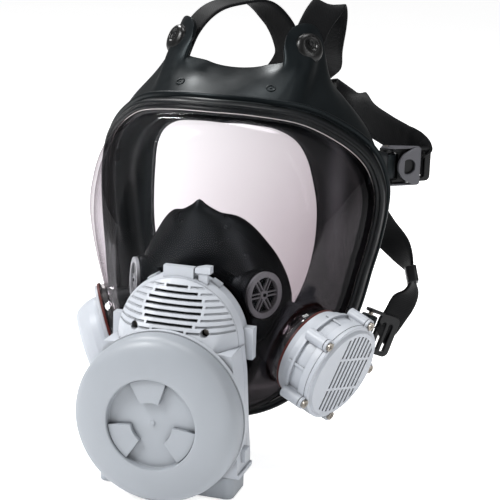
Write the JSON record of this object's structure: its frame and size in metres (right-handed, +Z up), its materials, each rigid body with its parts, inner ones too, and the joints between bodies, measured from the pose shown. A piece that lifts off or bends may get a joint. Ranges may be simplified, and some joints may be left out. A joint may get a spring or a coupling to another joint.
{
  "type": "full face respirator",
  "caption": "Full face mask with a wrap-round clear lens, a battery blower unit behind a round front filter, side exhalation units, an inner nose cup and a strap harness with buckles.",
  "frame": {"origin": "middle of the face opening, on the wearer's side of the lens, on the plane of symmetry", "axes": "+Z up, -Y out of the front of the lens, +Y towards the wearer's face, +X towards the wearer's left"},
  "size_m": [0.2084, 0.2581, 0.264],
  "materials": {
    "lens_clear": "clear polished polycarbonate",
    "rim_black": "semi-gloss moulded",
    "black_rubber": "satin moulded",
    "gasket_red": "satin",
    "white_plastic": "fine moulded texture",
    "grey_plastic": "fine moulded texture",
    "dark_plastic": "fine moulded texture",
    "valve_grey": "semi-gloss",
    "lever_grey": "semi-gloss",
    "strap_black": "woven webbing",
    "pad_black": "soft grain",
    "screw_steel": "machined",
    "foam_black": "open-cell foam",
    "media_white": "pleated filter media",
    "motor_metal": "brushed",
    "board_green": "solder mask",
    "contact_brass": "plated"
  },
  "bodies": {
    "facepiece": {"lens": "lens_clear", "lens_rim": "rim_black", "face_seal": "black_rubber", "nose_cup": "black_rubber", "port_socket": "dark_plastic", "port_nut": "dark_plastic", "port_gasket": "gasket_red", "side_gasket_left": "gasket_red", "side_gasket_right": "gasket_red", "side_housing_left": "white_plastic", "side_housing_right": "white_plastic", "side_cover_left": "white_plastic", "side_cover_right": "white_plastic", "side_screws_right": "screw_steel", "exhalation_seat_left": "dark_plastic", "exhalation_seat_right": "dark_plastic", "inhalation_seat_left": "valve_grey", "inhalation_seat_right": "valve_grey", "harness_studs": "dark_plastic", "strap_top_left": "strap_black", "strap_top_right": "strap_black", "strap_temple_left": "strap_black", "strap_temple_right": "strap_black", "strap_lower_left": "strap_black", "strap_lower_right": "strap_black", "back_pad": "pad_black", "buckle_pins": "screw_steel", "blower_rear_case": "white_plastic", "blower_front_case": "white_plastic", "case_screws": "screw_steel", "vent_foam": "foam_black", "blower_motor": "motor_metal", "circuit_board": "board_green", "battery_contacts": "contact_brass", "filter_seat": "white_plastic", "filter_gasket": "black_rubber", "filter_cartridge": "media_white"},
    "coupling_ring": {"coupling_ring": "white_plastic"},
    "ring_latch": {"ring_latch": "white_plastic"},
    "filter_cover": {"filter_cover": "grey_plastic"},
    "fan": {"impeller": "dark_plastic", "motor_shaft": "screw_steel"},
    "battery": {"battery_pack": "grey_plastic"},
    "battery_latch_left": {"battery_latch_left": "white_plastic"},
    "battery_latch_right": {"battery_latch_right": "white_plastic"},
    "exhalation_disc_left": {"exhalation_disc_left": "black_rubber"},
    "exhalation_disc_right": {"exhalation_disc_right": "black_rubber"},
    "inhalation_flap_left": {"inhalation_flap_left": "black_rubber"},
    "inhalation_flap_right": {"inhalation_flap_right": "black_rubber"},
    "temple_buckle_left": {"temple_buckle_left": "dark_plastic"},
    "temple_buckle_right": {"temple_buckle_right": "dark_plastic"},
    "temple_lever_left": {"temple_lever_left": "lever_grey"},
    "temple_lever_right": {"temple_lever_right": "lever_grey"},
    "lower_buckle_left": {"lower_buckle_left": "dark_plastic"},
    "lower_buckle_right": {"lower_buckle_right": "dark_plastic"}
  },
  "joints": [
    {"name": "coupling_ring_turn", "type": "hinge", "parent": "facepiece", "child": "coupling_ring", "pos_m": [0, -0.058, -0.049], "axis": [0, -1, 0], "range_deg": [0, 45]},
    {"name": "ring_latch_press", "type": "slide", "parent": "facepiece", "child": "ring_latch", "axis": [0, 0, -1], "range_m": [0, 0.0014]},
    {"name": "filter_cover_turn", "type": "hinge", "parent": "facepiece", "child": "filter_cover", "pos_m": [0, -0.1, -0.085], "axis": [0, -1, 0], "range_deg": [0, 30]},
    {"name": "fan_spin", "type": "hinge", "parent": "facepiece", "child": "fan", "pos_m": [0, -0.07, -0.049], "axis": [0, -1, 0], "continuous": true},
    {"name": "battery_slide", "type": "slide", "parent": "facepiece", "child": "battery", "axis": [0, 0, -1], "range_m": [0, 0.05]},
    {"name": "battery_latch_left_press", "type": "slide", "parent": "facepiece", "child": "battery_latch_left", "axis": [1, 0, 0], "range_m": [0, 0.0015]},
    {"name": "battery_latch_right_press", "type": "slide", "parent": "facepiece", "child": "battery_latch_right", "axis": [-1, 0, 0], "range_m": [0, 0.0015]},
    {"name": "exhalation_right_lift", "type": "slide", "parent": "facepiece", "child": "exhalation_disc_right", "axis": [0.8791, -0.3751, -0.294], "range_m": [0, 0.002]},
    {"name": "exhalation_left_lift", "type": "slide", "parent": "facepiece", "child": "exhalation_disc_left", "axis": [-0.8791, -0.3751, -0.294], "range_m": [0, 0.002]},
    {"name": "inhalation_right_lift", "type": "slide", "parent": "facepiece", "child": "inhalation_flap_right", "axis": [-0.8634, 0.502, -0.0502], "range_m": [0, 0.0015]},
    {"name": "inhalation_left_lift", "type": "slide", "parent": "facepiece", "child": "inhalation_flap_left", "axis": [0.8634, 0.502, -0.0502], "range_m": [0, 0.0015]},
    {"name": "temple_right_swing", "type": "hinge", "parent": "facepiece", "child": "temple_buckle_right", "pos_m": [0.08351, 0.06881, 0.032], "axis": [0, 0, 1], "range_deg": [-20, 15]},
    {"name": "temple_left_swing", "type": "hinge", "parent": "facepiece", "child": "temple_buckle_left", "pos_m": [-0.08351, 0.06881, 0.032], "axis": [0, 0, -1], "range_deg": [-35, 10]},
    {"name": "temple_lever_right_lift", "type": "hinge", "parent": "temple_buckle_right", "child": "temple_lever_right", "pos_m": [0.08351, 0.06881, 0.032], "axis": [0, 0, -1], "range_deg": [0, 30]},
    {"name": "temple_lever_left_lift", "type": "hinge", "parent": "temple_buckle_left", "child": "temple_lever_left", "pos_m": [-0.08351, 0.06881, 0.032], "axis": [0, 0, 1], "range_deg": [0, 30]},
    {"name": "lower_right_swing", "type": "hinge", "parent": "facepiece", "child": "lower_buckle_right", "pos_m": [0.07674, 0.07164, -0.0705], "axis": [0.2649, 0.2649, 0.9272], "range_deg": [-25, 15]},
    {"name": "lower_left_swing", "type": "hinge", "parent": "facepiece", "child": "lower_buckle_left", "pos_m": [-0.07674, 0.07164, -0.0705], "axis": [0.2649, -0.2649, -0.9272], "range_deg": [-25, 15]}
  ]
}
